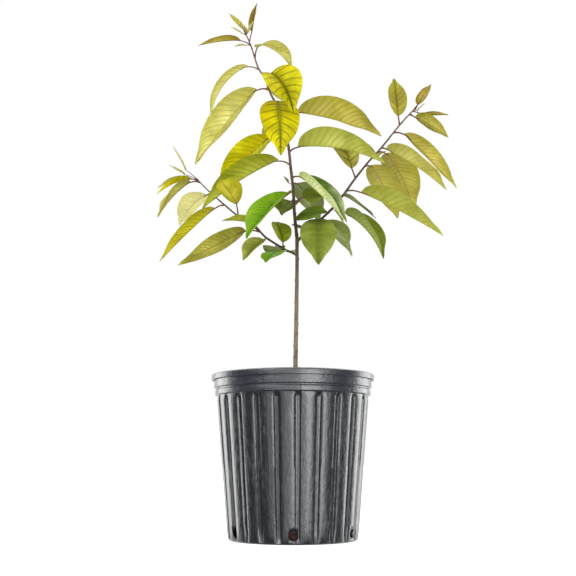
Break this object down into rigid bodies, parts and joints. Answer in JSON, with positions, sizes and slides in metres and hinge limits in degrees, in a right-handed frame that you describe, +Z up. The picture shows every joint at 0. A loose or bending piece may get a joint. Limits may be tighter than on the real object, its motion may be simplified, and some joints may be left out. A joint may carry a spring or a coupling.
{
  "type": "potted american persimmon tree",
  "caption": "Young broadleaf fruit tree with a thin bare trunk, a spreading leafy crown and a fluted round nursery pot.",
  "frame": {"origin": "centre of the pot's flat underside, on the ground", "axes": "+Z up the trunk, +X towards the side of the lower right bough, -Y towards the front"},
  "size_m": [0.3283, 0.1762, 0.584],
  "materials": {
    "pot_plastic": "dark slate grey blown plastic, satin",
    "potting_mix": "dark red brown bark mix with white specks",
    "trunk_bark": "young grey brown bark",
    "left_bough_bark": "young grey brown bark",
    "right_bough_bark": "young grey brown bark",
    "middle_foliage_leaf": "middle foliage, deep and mid green, satin",
    "upper_foliage_leaf": "upper foliage, yellow and olive, satin",
    "leader_foliage_leaf": "leader foliage, yellow with brown young leaves, satin",
    "right_inner_foliage_leaf": "right inner foliage, deep green and bluish green, satin",
    "right_outer_foliage_leaf": "right outer foliage, olive gold and pale green, satin",
    "left_inner_foliage_leaf": "left inner foliage, grey green and lime, satin",
    "left_outer_foliage_leaf": "left outer foliage, olive yellow, satin"
  },
  "bodies": {
    "root": {"nursery_pot": "pot_plastic", "potting_mix": "potting_mix", "trunk": "trunk_bark", "left_bough": "left_bough_bark", "right_bough": "right_bough_bark", "middle_foliage": "middle_foliage_leaf", "upper_foliage": "upper_foliage_leaf", "leader_foliage": "leader_foliage_leaf", "right_inner_foliage": "right_inner_foliage_leaf", "right_outer_foliage": "right_outer_foliage_leaf", "left_inner_foliage": "left_inner_foliage_leaf", "left_outer_foliage": "left_outer_foliage_leaf"}
  },
  "joints": []
}
